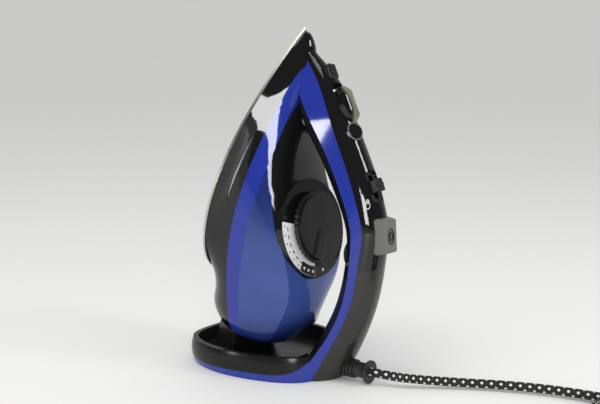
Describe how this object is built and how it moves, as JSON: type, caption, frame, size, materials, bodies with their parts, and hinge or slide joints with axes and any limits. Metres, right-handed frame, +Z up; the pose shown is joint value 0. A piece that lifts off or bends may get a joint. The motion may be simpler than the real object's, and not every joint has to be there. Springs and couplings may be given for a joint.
{
  "type": "steam iron",
  "caption": "Steam iron standing on its heel, with see-through water tank, thermostat dial, filler door, spray and steam buttons, steam slider and a coiled mains cord with plug.",
  "frame": {"origin": "middle of the heel's footprint, on the surface that the iron stands on", "axes": "+Z up, +X from the soleplate towards the handle and the cord, +Y across to the iron's far side"},
  "size_m": [0.5071, 0.1538, 0.296],
  "materials": {
    "sole_metal": "fine satin",
    "cast_aluminium": "as cast",
    "element_steel": "dull",
    "screw_steel": "zinc plated",
    "gasket_rubber": "matt silicone",
    "black_gloss": "polished",
    "black_satin": "satin moulded",
    "blue_gloss": "polished",
    "blue_clear": "polished, see-through",
    "smoke_clear": "polished, see-through",
    "grey_plastic": "satin moulded",
    "inner_plastic": "moulded",
    "label_print": "printed film",
    "ring_chrome": "bright",
    "brass": "plain",
    "cord_braid": "braided, flecked",
    "black_rubber": "matt"
  },
  "bodies": {
    "iron": {"soleplate": "sole_metal", "heater_casting": "cast_aluminium", "heating_element": "element_steel", "sole_screws": "screw_steel", "chamber_gasket": "gasket_rubber", "chamber_lid": "cast_aluminium", "thermostat": "inner_plastic", "thermal_fuse": "element_steel", "skirt": "black_gloss", "tank_lower": "blue_gloss", "water_tank": "blue_clear", "deck_panel": "black_gloss", "dial_bezel": "black_gloss", "dial_scale": "label_print", "shaft_tube": "inner_plastic", "spray_nozzle": "black_gloss", "nozzle_tip": "brass", "door_pin": "screw_steel", "filler_throat": "inner_plastic", "spray_ring": "ring_chrome", "spray_pump": "inner_plastic", "valve_guide": "inner_plastic", "boost_pump": "inner_plastic", "grip_pad": "black_rubber", "handle_cover": "black_gloss", "trim_band": "blue_gloss", "handle_frame": "black_gloss", "heel_tray": "black_gloss", "rear_neck": "black_satin", "terminal_block": "inner_plastic", "cord_clamp": "inner_plastic", "cord_lead": "cord_braid", "cord_coil": "cord_braid", "cord_tail": "cord_braid", "coil_tie": "black_rubber", "plug_body": "black_rubber", "plug_blades": "brass"},
    "dial": {"thermostat_dial": "black_satin", "thermostat_shaft": "inner_plastic"},
    "filler_flap": {"filler_door": "smoke_clear"},
    "spray_key": {"spray_button": "black_gloss"},
    "boost_key": {"boost_button": "grey_plastic"},
    "steam_control": {"steam_slider": "black_satin", "slider_link": "inner_plastic"},
    "valve": {"valve_rod": "screw_steel"},
    "cord_swivel": {"cord_bushing": "black_rubber"}
  },
  "joints": [
    {"name": "dial_turn", "type": "hinge", "parent": "iron", "child": "dial", "pos_m": [0.04146, 0, 0.12637], "axis": [-0.9848, 0, -0.1736], "range_deg": [0, 270]},
    {"name": "door_open", "type": "hinge", "parent": "iron", "child": "filler_flap", "pos_m": [0.06986, 0, 0.24447], "axis": [0, -1, 0], "range_deg": [0, 75]},
    {"name": "spray_press", "type": "slide", "parent": "iron", "child": "spray_key", "axis": [-0.8936, 0.2079, -0.3978], "range_m": [0, 0.003], "stiffness_N_per_m": 500, "springref_m": -0.002},
    {"name": "boost_press", "type": "slide", "parent": "iron", "child": "boost_key", "axis": [-0.9986, 0, -0.0523], "range_m": [0, 0.004], "stiffness_N_per_m": 600, "springref_m": -0.002},
    {"name": "steam_slide", "type": "slide", "parent": "iron", "child": "steam_control", "axis": [0.4067, 0, -0.9135], "range_m": [-0.005, 0.005]},
    {"name": "valve_lift", "type": "slide", "parent": "iron", "child": "valve", "axis": [0.9397, 0, -0.342], "range_m": [-0.0016, 0.0016]},
    {"name": "cord_turn", "type": "hinge", "parent": "iron", "child": "cord_swivel", "pos_m": [0.09, 0, 0.0105], "axis": [1, 0, 0], "range_deg": [-170, 170]}
  ],
  "couplings": [
    {"joint": "valve_lift", "follows": "steam_slide", "ratio": 0.3}
  ]
}
